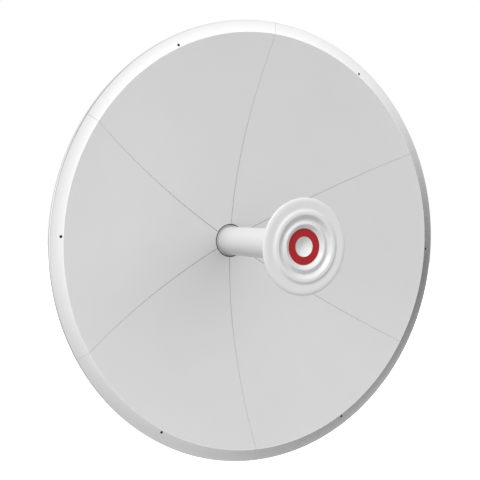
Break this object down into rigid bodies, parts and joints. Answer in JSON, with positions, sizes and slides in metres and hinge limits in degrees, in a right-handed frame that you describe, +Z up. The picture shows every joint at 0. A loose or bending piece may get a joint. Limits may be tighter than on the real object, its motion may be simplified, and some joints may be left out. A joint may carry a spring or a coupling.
{
  "type": "microwave dish antenna",
  "caption": "Round parabolic dish reflector made of petals, with an axial tube feed ending in a rippled disc head, and a rear hub with a tilt bracket and a flat mount plate.",
  "frame": {"origin": "centre of the rear face of the mount plate, on the dish's axis", "axes": "+Y out of the mount face towards the mast or wall, so the dish looks along -Y; +Z up; +X to the right when facing the dish"},
  "size_m": [0.66, 0.3693, 0.66],
  "materials": {
    "petal_paint": "satin white powder coat",
    "white_plastic": "smooth moulded white",
    "red_plastic": "flat red",
    "painted_casting": "satin light grey, fine cast grain",
    "nickel": "nickel plate",
    "black_rubber": "matt",
    "zinc_steel": "galvanised",
    "bolt_steel": "stainless"
  },
  "bodies": {
    "root": {"petal_1": "petal_paint", "petal_2": "petal_paint", "petal_3": "petal_paint", "petal_4": "petal_paint", "petal_5": "petal_paint", "petal_6": "petal_paint", "feed_tube": "white_plastic", "feed_collar": "white_plastic", "head_back": "white_plastic", "head_face": "white_plastic", "red_ring": "red_plastic", "centre_cap": "white_plastic", "hub_plate": "painted_casting", "lock_ring": "nickel", "feed_housing": "painted_casting", "housing_cover": "painted_casting", "connector_left": "nickel", "connector_right": "nickel", "connector_cap_left": "black_rubber", "connector_cap_right": "black_rubber", "tilt_cheek_left": "zinc_steel", "tilt_cheek_right": "zinc_steel", "mount_ear_left": "zinc_steel", "mount_ear_right": "zinc_steel", "mount_plate": "zinc_steel", "tilt_pivot_left": "bolt_steel", "tilt_pivot_right": "bolt_steel", "tilt_lock_left": "bolt_steel", "tilt_lock_right": "bolt_steel"}
  },
  "joints": []
}
